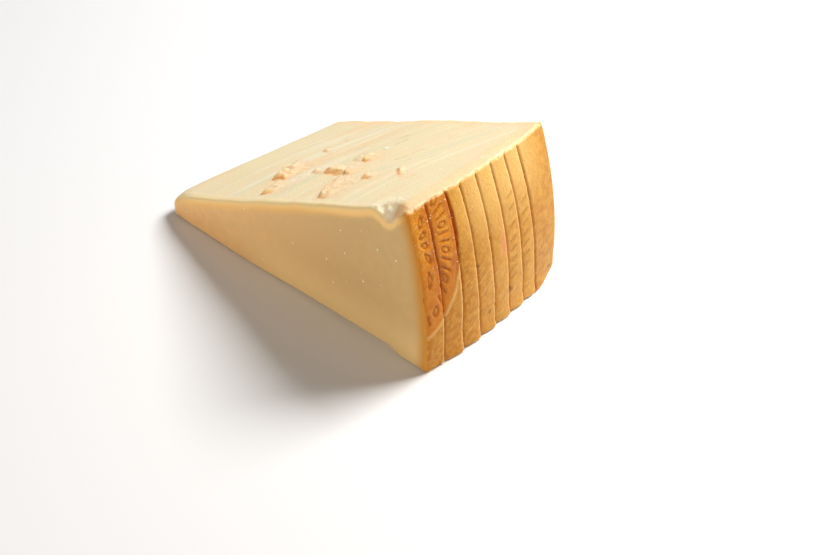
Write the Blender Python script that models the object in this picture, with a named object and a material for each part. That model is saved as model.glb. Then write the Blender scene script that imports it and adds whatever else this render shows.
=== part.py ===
"""A wedge of hard, aged cheese, split from a wheel and lying on one of its split faces.

X runs from the thin tip to the rind, Y from the smooth cut face to the wheel's flat plate,
Z is up. The origin is the middle of the bounding box's base. While the shape is worked out,
x is counted from a line just in front of the tip, y from the smooth cut face and z from the base.
"""
import math

import bmesh
import bpy
from mathutils import Vector, noise

MM = 0.001

# The wheel's share in the wedge
DEPTH = 103 * MM                # smooth cut face to plate, along the wheel's axis
RIND_REACH = 212.7 * MM         # x of the rind's lower near corner
RIND_RADIUS = 226 * MM          # the wheel's radius
RIND_ARC_Z = 33 * MM            # height of the rind's foremost line
PLATE_DROP = 10 * MM            # how far the barrel side falls back at the plate
PLATE_DROP_POWER = 2.1
RIND_BOW = 0.25                 # how much more the rind bows at the plate

# The split face on top and the thin tip
TOP_RISE = 0.447                # slope of the upper split face
TOP_START = 4.7 * MM            # its height where x is 0
TOP_TILT = 2.0 * MM             # how much lower it lies at the plate
TIP_NEAR = 12.5 * MM            # the tip at the smooth cut face
TIP_FAR = 33.0 * MM             # the tip at the plate
TIP_SWELL = 1.3 * MM            # how much thicker the tip is than the slope alone makes it
TIP_SWELL_REACH = 70 * MM
TIP_SWELL_START = 20 * MM       # the swell dies out from here to there, towards the plate
TIP_SWELL_END = 85 * MM

# The smooth cut face bows out towards the tip
FRONT_BOW = 1.7 * MM
FRONT_BOW_START = 130 * MM      # x where the bow sets in, and where it is full
FRONT_BOW_FULL = 70 * MM
FRONT_BOW_DEPTH = 25 * MM       # it dies out this far behind the face

# Knife scores down the rind: places at the base and at the top, in Y
SCORES_BASE = [y * MM for y in (12.1, 25.2, 37.8, 49.8, 60.8, 72.2, 82.4)]
SCORES_TOP = [y * MM for y in (11.6, 25.8, 35.2, 46.4, 57.8, 68.4, 78.6)]
SCORE_DEPTH = 1.5 * MM
SCORE_HALF_WIDTH = 0.8 * MM
SCORE_TOP_START = 0.6 * MM      # the scores deepen from here to there below the upper split face
SCORE_TOP_FULL = 3.4 * MM
STRIP_RISE = 0.55 * MM          # each strip stands proud at its far edge
STRIP_CROWN = 0.3 * MM
LAST_STRIP_FALL = 0.8           # share of the strip at the plate over which it falls back
FOOT_FLARE = 2.1 * MM           # how far the strips spread at the base, most at their far edge
FOOT_FLARE_NEAR = 0.35          # share of it at a strip's near edge
FOOT_FLARE_HEIGHT = 16 * MM
FOOT_FLARE_START = 8 * MM       # the flare sets in from here to twice as far back

# Pressed oval on the rind: a plain ring with short bars inside it
OVAL_Y = -3 * MM
OVAL_Z = 78 * MM
OVAL_HALF_Y = 30.5 * MM
OVAL_HALF_Z = 55 * MM
OVAL_RING_DEPTH = 0.7 * MM
OVAL_RING_HALF_WIDTH = 1.1 * MM
OVAL_FIELD_DEPTH = 0.3 * MM
OVAL_BAR_PITCH = 6.4 * MM       # the bars, spaced along the ring
OVAL_BAR_DEPTH = 0.45 * MM
OVAL_BAR_SHARE = 0.22           # half width of a bar as a share of the pitch
OVAL_BAR_START = 6.2 * MM       # from here to there inside the ring
OVAL_BAR_END = 12.6 * MM

# Flakes that stand up from the split face, each with a sheer wall to the tip and a sloping foot
# to the smooth face: corner x and y, the wall's turn in degrees and length, the foot's turn and
# length, height, run of the foot's slope, and how long the foot holds its height (1 falls evenly)
FLAKES = (
    (73.5, 24.1, 113, 27, 12, 9.6, 2.7, 3.8, 1.0),
    (84.9, 8.4, 113, 20, 10, 7.4, 2.0, 3.4, 1.0),
    (92.8, 35.2, 110, 7, -16, 12.0, 1.1, 2.6, 1.0),
    (103.5, 34.7, 112, 13, -7, 18.0, 1.8, 4.6, 2.4),
    (120.6, 33.0, 122, 14, 4, 6.0, 1.6, 3.0, 1.0),
    (131.0, 6.1, 115, 32, 8, 10.0, 1.6, 3.4, 1.0),
    (109.0, 50.7, 100, 12, -20, 8.0, 0.7, 2.0, 1.0),
    (117.0, 49.0, 122, 15, 10, 5.5, 2.0, 3.4, 1.0),
    (138.3, 30.3, 108, 11, -11, 9.0, 1.5, 2.8, 1.3),
    (155.3, 38.8, 112, 10, -28, 10.0, 1.4, 3.0, 1.0),
    (72.2, 60.2, 113, 9, -15, 6.5, 1.0, 1.9, 1.0),
)
FLAKE_WALL = 0.9 * MM           # thickness of a flake's sheer wall
FLAKE_SPREAD = 0.5              # how much wider a flake gets along its wall
FLAKE_HOLD = 0.3                # share of the wall's length before the flake sinks away

# Streaks of the split grain
STREAK_HEIGHT = 0.55 * MM
STREAK_PITCH = 15 * MM
STREAK_LENGTH = 95 * MM
STREAK_LEAN = 0.42              # how far a streak leans to the rind along Y
FINE_STREAK_HEIGHT = 0.28 * MM
FINE_STREAK_PITCH = 6.5 * MM
FINE_STREAK_LENGTH = 60 * MM
WAVE_HEIGHT = 0.7 * MM
WAVE_LENGTH = 48 * MM
STREAK_LAYER = 3.7              # slices of the noise, fixed so that the shape stays the same
FINE_STREAK_LAYER = 9.1
WAVE_LAYER = 5.3

# Crumbled corner where the top, the smooth face and the rind meet
CHIP_X = 193.8 * MM
CHIP_TO_TIP = 12.0 * MM         # its reach to both sides along the edge
CHIP_TO_RIND = 10.0 * MM
CHIP_HALF_Y = 9.0 * MM          # its half width on the tip's side, and on the rind's
CHIP_HALF_Y_RIND = 6.5 * MM
CHIP_DEPTH = 7.6 * MM
CHIP_POWER = 0.9                # under 1 the bite is blunt at the bottom
RIND_SAG = 1.4 * MM             # the split face drops a little where it meets the rind
RIND_SAG_REACH = 9 * MM
RIND_SAG_END = 0.75             # share of the depth past which it dies out to the plate
CORNER_SAG = 1.0 * MM
CORNER_SAG_REACH = 14 * MM

# Worn lower edge of the smooth face, which arches off the base
ARCH_START = 90 * MM
ARCH_PEAK = 187 * MM            # just before the rind it comes down again
ARCH_END = 193 * MM
ARCH_HEIGHT = 2.8 * MM
ARCH_POWER = 1.3                # over 1 the lift grows towards its peak
ARCH_DEPTH = 7 * MM

# The wedge rests on the flat triangle between these places, and the split face rises outside it
FEET = [Vector((x * MM, y * MM)) for x, y in ((22.3, 3.5), (210.6, 2.4), (196.5, 98.8))]
BASE_STEP = 0.3 * MM            # just outside it lies this high, so that only the corners bear
BASE_RISE = 0.06                # slope of the rise
BASE_RISE_MOST = 1.2 * MM
BASE_RISE_FADE = 8 * MM         # it dies out this far up
BASE_HOLLOW = 0.03 * MM         # inside its corners the triangle is this much higher
BASE_SLACK = 0.5 * MM           # points lower than this are levelled again after thinning

# Radii of the worn edges, measured along each axis
TIP_ROUND = 5.2 * MM
RIND_ROUND = 1.6 * MM
FRONT_ROUND = 2.1 * MM
BACK_ROUND = 1.5 * MM
TOP_ROUND = 1.8 * MM
BASE_ROUND = 0.9 * MM
RIM_ROUND_BASE = 6.5 * MM       # where the barrel side meets the plate, low down
RIM_ROUND_TOP = 2.6 * MM        # and at the upper split face
RIM_BASE_LIFT = 7.5 * MM        # height of the worn lower corner of the rim
RIM_REACH = 16 * MM
NOSE_ROUND_BASE = 8 * MM        # the worn near corner of the tip in Y, at the base
NOSE_ROUND_NEAR = 12 * MM       # and at the upper split face
NOSE_ROUND_TOP = 6.5 * MM       # its upper edge, in Z
NOSE_REACH = 22 * MM

# Over these lengths the relief of a face dies out inside the wedge and towards its edges
RIND_FADE = 14 * MM
RIND_FADE_TO_PLATE = 3 * MM
GRAIN_FADE_TO_RIND = 2.5 * MM
GRAIN_FADE_TO_TIP = 8 * MM
SAG_FADE = 0.7                  # share of the height from which the sag of the top sets in
CHIP_FADE = 0.5                 # share of the height from which the bite sets in

# Grid of the box before it is thinned
CELL = 1.9 * MM
CELL_SLACK = 0.25               # a stretch this much of a cell longer isn't cut again
EDGE_STEPS = (0.0, 0.5 * MM, 1.2 * MM, 2.4 * MM, 4.2 * MM)
SETTLING_ROUNDS = 3             # a point's height and its place along the wedge depend on each other
TRIANGLES = 10400

NAME = "cheese_wedge"
COLOR = (0.93, 0.76, 0.47, 1.0)
ROUGHNESS = 0.55
SHARP_ANGLE = 30                # degrees


def smooth_step(low, high, value):
    t = min(max((value - low) / (high - low), 0.0), 1.0)
    return t * t * (3 - 2 * t)


def clear_scene():
    for obj in list(bpy.data.objects):
        bpy.data.objects.remove(obj, do_unlink=True)
    for collection in list(bpy.data.collections):
        bpy.data.collections.remove(collection)


def cheese_material():
    material = bpy.data.materials.new("aged_cheese")
    material.use_nodes = True
    shader = material.node_tree.nodes["Principled BSDF"]
    shader.inputs["Base Color"].default_value = COLOR
    shader.inputs["Roughness"].default_value = ROUGHNESS
    shader.inputs["Metallic"].default_value = 0.0
    return material


def fill_stations(marks):
    """Sorted marks with evenly spaced stations between those that lie further apart."""
    stations = [marks[0]]
    for mark in marks[1:]:
        start = stations[-1]
        count = max(1, math.ceil((mark - start) / CELL - CELL_SLACK))
        stations += [start + (mark - start) * i / count for i in range(1, count + 1)]
    return stations


def edged_marks(length, inner=()):
    """Both ends of a side with the fine steps beside them, and the inner marks between."""
    near = list(EDGE_STEPS)
    far = [length - step for step in reversed(EDGE_STEPS)]
    middle = [mark for mark in inner if near[-1] < mark < far[0]]
    return near + sorted(middle) + far


def score_marks(scores):
    marks = []
    for score in scores:
        marks += [score - SCORE_HALF_WIDTH, score, score + SCORE_HALF_WIDTH]
    return marks


def across_station_pairs():
    """Stations from front to back as (at the base, at the top), so columns follow the scores."""
    base = edged_marks(DEPTH, score_marks(SCORES_BASE))
    top = edged_marks(DEPTH, score_marks(SCORES_TOP))
    pairs = [(base[0], top[0])]
    for start, end in zip(zip(base, top), zip(base[1:], top[1:])):
        count = max(1, math.ceil((end[0] - start[0]) / CELL - CELL_SLACK))
        for i in range(1, count + 1):
            t = i / count
            pairs.append((start[0] + (end[0] - start[0]) * t, start[1] + (end[1] - start[1]) * t))
    return pairs


def top_height(x, y):
    """Height of the plain upper split face, which swells a little towards the tip's near end."""
    swell = smooth_step(TIP_SWELL_REACH, 0, x - tip_x(y)) * smooth_step(TIP_SWELL_END, TIP_SWELL_START, y)
    return TOP_START + TOP_RISE * x - TOP_TILT * y / DEPTH + TIP_SWELL * swell


def tip_x(y):
    return TIP_NEAR + (TIP_FAR - TIP_NEAR) * y / DEPTH


def rind_x(y, z):
    """Barrel side of the wheel."""
    axis_x = RIND_REACH - math.sqrt(RIND_RADIUS ** 2 - RIND_ARC_Z ** 2)
    radius = RIND_RADIUS - PLATE_DROP * (y / DEPTH) ** PLATE_DROP_POWER
    bow = 1 + RIND_BOW * (y / DEPTH) ** 2
    return axis_x + math.sqrt(radius ** 2 - bow * (z - RIND_ARC_Z) ** 2)


def score_places(z):
    share = min(z / top_height(RIND_REACH, DEPTH), 1.0)
    return [base + (top - base) * share for base, top in zip(SCORES_BASE, SCORES_TOP)]


def strip_relief(y, z, below):
    """How far the scored rind stands out: strips that rise to their far edge, scores between."""
    scores = score_places(z)
    bounds = [0.0] + scores + [DEPTH]
    relief = 0.0
    for low, high in zip(bounds, bounds[1:]):
        if low <= y <= high:
            t = (y - low) / (high - low)
            proud = t if high < DEPTH else 1 - smooth_step(0, LAST_STRIP_FALL, t)
            relief = STRIP_CROWN * math.sin(math.pi * t) + STRIP_RISE * proud
            foot = FOOT_FLARE_NEAR + (1 - FOOT_FLARE_NEAR) * proud
            foot *= smooth_step(FOOT_FLARE_START, 2 * FOOT_FLARE_START, y)
            relief += FOOT_FLARE * foot * max(0.0, 1 - z / FOOT_FLARE_HEIGHT) ** 2
    gap = min(abs(y - score) for score in scores)
    if gap < SCORE_HALF_WIDTH:
        cut = SCORE_DEPTH * (1 - gap / SCORE_HALF_WIDTH)
        relief -= cut * smooth_step(SCORE_TOP_START, SCORE_TOP_FULL, below)
    return relief


def oval_arc(turn):
    """Length along the oval's ring, near enough for even bars."""
    mean = (OVAL_HALF_Y + OVAL_HALF_Z) / 2
    return mean * turn + (OVAL_HALF_Z - OVAL_HALF_Y) / 4 * math.sin(2 * turn)


def oval_relief(y, z):
    """Plain pressed oval: a sunken field in a ring, with short bars along the ring."""
    share_y = (y - OVAL_Y) / OVAL_HALF_Y
    share_z = (z - OVAL_Z) / OVAL_HALF_Z
    out = math.hypot(share_y, share_z)
    if out == 0 or out > 1:
        return 0.0
    slope = math.hypot(share_y / OVAL_HALF_Y, share_z / OVAL_HALF_Z) / out
    gap = (1 - out) / slope
    ring = max(0.0, 1 - abs(gap - OVAL_RING_HALF_WIDTH) / OVAL_RING_HALF_WIDTH)
    relief = -OVAL_RING_DEPTH * ring - OVAL_FIELD_DEPTH * smooth_step(0, OVAL_RING_HALF_WIDTH, gap)
    if OVAL_BAR_START < gap < OVAL_BAR_END:
        turn = math.atan2(share_z, share_y)
        phase = (oval_arc(turn) / OVAL_BAR_PITCH) % 1.0
        relief -= OVAL_BAR_DEPTH * max(0.0, 1 - abs(phase - 0.5) / OVAL_BAR_SHARE)
    return relief


def flake_relief(x, y):
    """Raised flakes: highest at the sheer wall, sinking into the face away from it."""
    relief = 0.0
    for flake in FLAKES:
        corner_x, corner_y, wall_turn, wall_length, foot_turn, foot_length, height, run, hold = flake
        spot = Vector((x / MM - corner_x, y / MM - corner_y))
        wall = Vector((math.cos(math.radians(wall_turn)), math.sin(math.radians(wall_turn))))
        foot = Vector((math.cos(math.radians(foot_turn)), math.sin(math.radians(foot_turn))))
        spread = foot.cross(wall)
        along_foot = spot.cross(wall) / spread
        along_wall = foot.cross(spot) / spread
        reach = foot_length + FLAKE_SPREAD * along_wall
        if 0 < along_foot < reach and 0 < along_wall < wall_length:
            stand = height * MM * (1 - (along_foot / reach) ** hold)
            stand *= smooth_step(wall_length, FLAKE_HOLD * wall_length, along_wall)
            stand *= smooth_step(0, FLAKE_WALL / MM, along_foot * spread)
            relief += stand * smooth_step(0, run, along_wall * spread)
    return relief


def grain_relief(x, y):
    """Streaks of the split grain and the slow waves under them."""
    lean = x - STREAK_LEAN * y * y / DEPTH
    streak = noise.noise(Vector((lean / STREAK_PITCH, y / STREAK_LENGTH, STREAK_LAYER)))
    fine = noise.noise(Vector((lean / FINE_STREAK_PITCH, y / FINE_STREAK_LENGTH, FINE_STREAK_LAYER)))
    wave = noise.noise(Vector((x / WAVE_LENGTH, y / WAVE_LENGTH, WAVE_LAYER)))
    return STREAK_HEIGHT * streak + FINE_STREAK_HEIGHT * fine + WAVE_HEIGHT * wave


def chip_relief(x, y):
    """The crumbled bite out of the near upper edge."""
    half_x, half_y = (CHIP_TO_TIP, CHIP_HALF_Y) if x < CHIP_X else (CHIP_TO_RIND, CHIP_HALF_Y_RIND)
    reach = math.hypot((x - CHIP_X) / half_x, y / half_y)
    return -CHIP_DEPTH * max(0.0, 1 - reach) ** CHIP_POWER


def arch_lift(x, y):
    """Lift of the worn lower edge of the smooth face."""
    if not ARCH_START < x < ARCH_END:
        return 0.0
    rise = min((x - ARCH_START) / (ARCH_PEAK - ARCH_START), 1.0) ** ARCH_POWER
    return ARCH_HEIGHT * rise * smooth_step(ARCH_END, ARCH_PEAK, x) * smooth_step(ARCH_DEPTH, 0, y)


def base_rise(spot, feet):
    """How far the lower split face lies above the flat triangle that the wedge rests on."""
    inside = True
    gap = DEPTH
    for start, end in zip(feet, feet[1:] + feet[:1]):
        run = end - start
        share = min(max((spot - start).dot(run) / run.length_squared, 0.0), 1.0)
        gap = min(gap, (spot - start - run * share).length)
        inside = inside and run.cross(spot - start) >= 0
    return 0.0 if inside else min(BASE_STEP + BASE_RISE * gap, BASE_RISE_MOST)


def plain_spot(along, across_pair, up):
    """Point of the wedge with sharp edges for a station of the box.

    The columns lean with the scores only near the rind.
    """
    y = across_pair[0] + (across_pair[1] - across_pair[0]) * up * along ** 3
    x = RIND_REACH
    z = 0.0
    for _ in range(SETTLING_ROUNDS):
        z = up * top_height(x, y)
        end = rind_x(y, z)
        x = tip_x(y) + (end - tip_x(y)) * along
    return Vector((x, y, z))


def round_edges(spot):
    """Pull a point on the sharp form in, so that its edges become elliptic arcs."""
    x, y, z = spot
    depths = (
        (x - tip_x(y), rind_x(y, z) - x),
        (y, DEPTH - y),
        (z, top_height(x, y) - z),
    )
    rim = smooth_step(RIM_REACH, 0, depths[0][1]) * smooth_step(RIM_REACH, 0, DEPTH - y)
    nose = smooth_step(NOSE_REACH, 0, depths[0][0])
    up = z / top_height(x, y)
    rim_round = RIM_ROUND_BASE + (RIM_ROUND_TOP - RIM_ROUND_BASE) * up
    nose_round = NOSE_ROUND_BASE + (NOSE_ROUND_NEAR - NOSE_ROUND_BASE) * up
    front_round = FRONT_ROUND + (nose_round - FRONT_ROUND) * nose
    back_round = BACK_ROUND + (rim_round - BACK_ROUND) * rim
    radii = (
        (TIP_ROUND, RIND_ROUND + (rim_round - RIND_ROUND) * rim),
        (front_round, back_round),
        (BASE_ROUND + RIM_BASE_LIFT * rim, TOP_ROUND + (NOSE_ROUND_TOP - TOP_ROUND) * nose),
    )
    overlap = Vector((0, 0, 0))
    share = Vector((0, 0, 0))
    for axis in range(3):
        for way, depth, radius in zip((-1, 1), depths[axis], radii[axis]):
            if depth < radius:
                overlap[axis] = way * (radius - depth)
                share[axis] = 1 - depth / radius
    if share.length <= 1:
        return spot.copy()
    return spot - overlap * (1 - 1 / share.length)


def finished_spot(along, across_pair, up):
    """Point of the finished wedge: the sharp form with worn edges, then the relief."""
    spot = plain_spot(along, across_pair, up)
    x, y, z = spot
    behind_rind = rind_x(y, z) - x
    moved = round_edges(spot)
    bow = smooth_step(FRONT_BOW_START, FRONT_BOW_FULL, x) * smooth_step(FRONT_BOW_DEPTH, 0, y)
    moved.y -= FRONT_BOW * bow

    rind = strip_relief(y, z, top_height(x, y) - z) + oval_relief(y, z)
    rind *= smooth_step(0, RIND_FADE_TO_PLATE, DEPTH - y)
    moved.x += rind * smooth_step(RIND_FADE, 0, behind_rind)

    inside = smooth_step(0, GRAIN_FADE_TO_RIND, behind_rind)
    inside *= smooth_step(0, GRAIN_FADE_TO_TIP, x - tip_x(y))
    relief = (flake_relief(x, y) + grain_relief(x, y)) * inside
    moved.z += relief * up ** 2

    corner = RIND_SAG * smooth_step(1.0, RIND_SAG_END, y / DEPTH)
    corner += CORNER_SAG * smooth_step(CORNER_SAG_REACH, 0, y)
    moved.z -= corner * smooth_step(RIND_SAG_REACH, 0, behind_rind) * smooth_step(SAG_FADE, 1.0, up)
    moved.z += chip_relief(x, y) * smooth_step(CHIP_FADE, 1.0, up)
    moved.z += arch_lift(x, y) * (1 - up) ** 2
    moved.z += base_rise(Vector((x, y)), FEET) * smooth_step(BASE_RISE_FADE, 0, z)
    return moved


def unit_grid(counts):
    """Closed unit box whose sides are cut into the given numbers of cells."""
    bm = bmesh.new()
    bmesh.ops.create_cube(bm, size=1.0)
    bmesh.ops.translate(bm, verts=bm.verts, vec=(0.5, 0.5, 0.5))
    for axis, count in enumerate(counts):
        edges = []
        for edge in bm.edges:
            run = edge.verts[1].co - edge.verts[0].co
            if abs(run[axis]) > 0.5 * run.length:
                edges.append(edge)
        bmesh.ops.subdivide_edges(bm, edges=edges, cuts=count - 1, use_grid_fill=True)
    return bm


def build_wedge():
    length = RIND_REACH - TIP_NEAR
    height = top_height(RIND_REACH, DEPTH)
    along_stations = [s / length for s in fill_stations(edged_marks(length))]
    up_stations = [s / height for s in fill_stations(edged_marks(height))]
    across_stations = across_station_pairs()
    counts = (len(along_stations) - 1, len(across_stations) - 1, len(up_stations) - 1)

    bm = unit_grid(counts)
    for vert in bm.verts:
        column, row, level = (round(co * count) for co, count in zip(vert.co, counts))
        vert.co = finished_spot(along_stations[column], across_stations[row], up_stations[level])
    bmesh.ops.triangulate(bm, faces=bm.faces)
    bmesh.ops.recalc_face_normals(bm, faces=bm.faces)
    mesh = bpy.data.meshes.new(NAME)
    bm.to_mesh(mesh)
    bm.free()
    return bpy.data.objects.new(NAME, mesh)


def thin_out(obj):
    """Collapse the flat stretches, so that the triangles stay where the relief is."""
    modifier = obj.modifiers.new("thin_out", "DECIMATE")
    modifier.decimate_type = "COLLAPSE"
    modifier.ratio = TRIANGLES / len(obj.data.polygons)
    graph = bpy.context.evaluated_depsgraph_get()
    mesh = bpy.data.meshes.new_from_object(obj.evaluated_get(graph))
    obj.modifiers.clear()
    obj.data = mesh


def level_base(obj):
    """Thinning shifts low points by a hair, so the triangle is laid between the nearest of them."""
    low = [vert for vert in obj.data.vertices if vert.co.z < BASE_SLACK]
    feet = [min((vert.co.xy for vert in low), key=lambda spot: (spot - foot).length) for foot in FEET]
    for vert in low:
        rise = base_rise(vert.co.xy, feet)
        vert.co.z = max(vert.co.z, rise) if rise else BASE_HOLLOW
        if vert.co.xy in feet:
            vert.co.z = 0.0


def stand_on_origin(obj):
    """Put the middle of the bounding box's base at the origin."""
    spots = [vert.co for vert in obj.data.vertices]
    low = Vector(min(spot[i] for spot in spots) for i in range(3))
    high = Vector(max(spot[i] for spot in spots) for i in range(3))
    shift = Vector((-(low.x + high.x) / 2, -(low.y + high.y) / 2, -low.z))
    for vert in obj.data.vertices:
        vert.co += shift
    return low, high


def main():
    clear_scene()
    collection = bpy.data.collections.new("hard_cheese_wedge")
    bpy.context.scene.collection.children.link(collection)
    wedge = build_wedge()
    collection.objects.link(wedge)
    thin_out(wedge)
    level_base(wedge)
    low, high = stand_on_origin(wedge)
    wedge.data.materials.clear()
    wedge.data.materials.append(cheese_material())
    wedge.data.shade_smooth()
    wedge.data.set_sharp_from_angle(angle=math.radians(SHARP_ANGLE))
    size = [round((b - a) / MM, 1) for a, b in zip(low, high)]
    print("wedge", size, "mm,", len(wedge.data.polygons), "triangles")


main()
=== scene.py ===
import math

import bmesh
import bpy
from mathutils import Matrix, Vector, noise


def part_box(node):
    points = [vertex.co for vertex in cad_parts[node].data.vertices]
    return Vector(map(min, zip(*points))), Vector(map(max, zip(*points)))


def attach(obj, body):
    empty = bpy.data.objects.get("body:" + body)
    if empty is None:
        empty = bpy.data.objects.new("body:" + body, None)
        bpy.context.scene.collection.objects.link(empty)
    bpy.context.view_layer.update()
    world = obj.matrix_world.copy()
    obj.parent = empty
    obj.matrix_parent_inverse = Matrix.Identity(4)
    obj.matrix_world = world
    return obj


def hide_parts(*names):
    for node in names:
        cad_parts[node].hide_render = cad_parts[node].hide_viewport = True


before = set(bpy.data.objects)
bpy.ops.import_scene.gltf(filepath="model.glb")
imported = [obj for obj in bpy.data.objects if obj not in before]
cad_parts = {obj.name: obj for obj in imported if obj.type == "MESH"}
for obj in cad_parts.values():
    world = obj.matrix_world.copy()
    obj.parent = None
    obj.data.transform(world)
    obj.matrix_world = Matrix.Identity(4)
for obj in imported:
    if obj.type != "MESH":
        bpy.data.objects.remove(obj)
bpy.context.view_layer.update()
cornerLow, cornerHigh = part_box("cheese_wedge")
print("loaded the solid:", [round(value, 4) for value in cornerLow], [round(value, 4) for value in cornerHigh])

mm = 0.001

# The shape is worked out in millimetres: x from just in front of the tip to the rind,
# y from the smooth cut face to the wheel's plate, z up from the board side.
wheel = {
    "depth": 103.0,             # smooth cut face to plate
    "rindReach": 212.7,         # x of the rind's lower near corner
    "radius": 226.0,
    "foremost": 33.0,           # height at which the rind stands out most
    "plateDrop": 10.0,          # how far the barrel side falls back at the plate
    "plateDropPower": 2.1,
    "plateBow": 0.25,
}

splitFace = {
    "rise": 0.447,              # slope of the upper split face
    "start": 4.7,               # its height where x is 0
    "tilt": 2.0,                # how much lower it lies at the plate
    "tipNear": 12.5,            # the tip at the smooth face and at the plate
    "tipFar": 33.0,
    "tipSwell": 1.3, "tipSwellReach": 70.0, "tipSwellY": (85.0, 20.0),
    "streakHeight": 0.55, "streakPitch": 15.0, "streakLength": 95.0, "streakLean": 0.42, "colorLean": 0.33,
    "fineHeight": 0.28, "finePitch": 6.5, "fineLength": 60.0,
    "waveHeight": 0.7, "waveLength": 48.0,
    "hairHeight": 0.06, "hairPitch": 2.1, "hairLength": 60.0,
    "grainHeight": 0.05, "grainSize": 1.5,
    "crumbHeight": 0.9, "crumbSize": 2.4,
    "fadeDepth": 3.0,           # the finest relief dies out this far below the face
    "layers": (3.7, 9.1, 5.3, 12.4, 21.8, 33.2),
}

# Flakes standing up from the face, with a sheer wall to the tip and a sloping foot to the front:
# corner x and y, the wall's turn and length, the foot's turn and length, height, run of the foot,
# and how long the foot holds its height
flakes = (
    (73.5, 24.1, 113, 27, 12, 9.6, 2.7, 3.8, 1.0),
    (84.9, 8.4, 113, 20, 10, 7.4, 2.0, 3.4, 1.0),
    (92.8, 35.2, 110, 7, -16, 12.0, 1.1, 2.6, 1.0),
    (103.5, 34.7, 112, 13, -7, 18.0, 1.8, 4.6, 2.4),
    (120.6, 33.0, 122, 14, 4, 6.0, 1.6, 3.0, 1.0),
    (131.0, 6.1, 115, 32, 8, 10.0, 1.6, 3.4, 1.0),
    (109.0, 50.7, 100, 12, -20, 8.0, 0.7, 2.0, 1.0),
    (117.0, 49.0, 122, 15, 10, 5.5, 2.0, 3.4, 1.0),
    (138.3, 30.3, 108, 11, -11, 9.0, 1.5, 2.8, 1.3),
    (155.3, 38.8, 112, 10, -28, 10.0, 1.4, 3.0, 1.0),
    (72.2, 60.2, 113, 9, -15, 6.5, 1.0, 1.9, 1.0),
)
flakeShape = {
    "wall": 1.2, "spread": 0.5, "hold": 0.3, "fullHeight": 2.7, "uneven": 0.6,
    "warp": 1.7, "warpSize": 4.2,
    "haloBehind": 12.0, "haloBefore": 3.0, "ochreWidth": 4.0,
}

# Hairline cracks and creases of the split face: both ends, half width, depth
hairlines = (
    (65.2, 40.2, 63.6, 49.5, 0.9, 0.7),
    (91.8, 30.6, 91.4, 25.0, 0.7, 0.4),
    (120.0, 70.8, 121.4, 79.0, 0.8, 0.5),
    (137.9, 52.3, 142.9, 59.4, 0.8, 0.5),
    (72.8, 73.8, 74.9, 78.1, 0.7, 0.4),
    (103.2, 67.5, 105.7, 69.7, 0.6, 0.35),
    (148.0, 51.7, 149.0, 55.6, 0.6, 0.35),
    (110.2, 76.2, 118.8, 83.6, 0.9, 0.3),
    (142.5, 61.0, 146.6, 68.5, 0.9, 0.3),
    (149.4, 80.5, 152.2, 86.5, 0.9, 0.25),
    (69.6, 75.2, 70.2, 80.8, 0.7, 0.25),
    (160.0, 55.0, 164.8, 63.0, 0.8, 0.18),
    (169.0, 32.0, 171.7, 38.5, 0.8, 0.18),
    (96.6, 64.0, 98.2, 70.0, 0.8, 0.2),
)
paleBump = (118.2, 66.3, 2.2, 0.7)      # x, y, radius, height

rind = {
    "scoresBase": (12.1, 25.2, 37.8, 49.8, 60.8, 72.2, 82.4),
    "scoresTop": (11.6, 25.8, 35.2, 46.4, 57.8, 68.4, 78.6),
    "scoreDepth": 1.5, "scoreHalfWidth": 0.8, "scoreTop": (0.6, 3.4),
    "scoreWander": 0.35, "scoreWanderLength": 17.0,
    "stripRise": 0.55, "stripCrown": 0.3, "lastStripFall": 0.8,
    "flare": 2.1, "flareNear": 0.35, "flareHeight": 16.0, "flareStart": 8.0,
    "fade": 14.0, "fadeToPlate": 3.0,
    "dentHeight": 0.12, "dentSize": 7.0,
    "poreHeight": 0.06, "poreSize": 1.6,
}

# Pressed and toasted oval: a plain ring with short bars and a row of small rings
pressed = {
    "midY": -3.0, "midZ": 78.0, "halfY": 30.5, "halfZ": 55.0,
    "ringDepth": 0.7, "ringHalfWidth": 1.1, "fieldDepth": 0.3,
    "ringFades": (40.0, 58.0),       # below this height the ring is a pale lip
    "barFrom": 5.4, "barTo": 12.8, "barPitch": 6.4, "barHalfWidth": 1.2, "barDepth": 0.6,
    "ringEvery": 3, "ringRadius": 3.1,      # every third bar is a ring instead
    "dotRow": 22.0, "dotPitch": 7.6, "dotRadius": 2.6, "dotDepth": 0.55,
    "toastFrom": 33.0, "toastTo": 60.0, "toastWidth": 4.4,
}

# Rows of plain slanted dashes printed into two strips: y and z of each, in order of height
dashes = {
    "places": (
        (65.4, 71.0), (65.1, 64.0), (64.6, 55.0), (64.3, 46.5), (64.0, 41.0), (63.7, 34.6),
        (63.4, 29.4), (63.2, 24.0), (75.2, 63.0), (74.9, 56.4), (74.6, 50.4), (74.3, 44.2),
        (74.0, 38.0), (73.8, 31.7), (73.5, 24.9),
    ),
    "turn": 24, "halfLength": 2.9, "halfWidth": 0.85, "depth": 0.45,
}

# Marks of handling on the rind: y, z, half width, half height
pinkStain = (57.0, 47.5, 3.6, 8.5)
brownSpots = ((37.9, 45.9, 1.0, 0.9), (44.5, 13.2, 1.1, 1.5), (61.6, 17.0, 1.8, 2.0), (94.8, 9.1, 1.6, 1.2))

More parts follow.
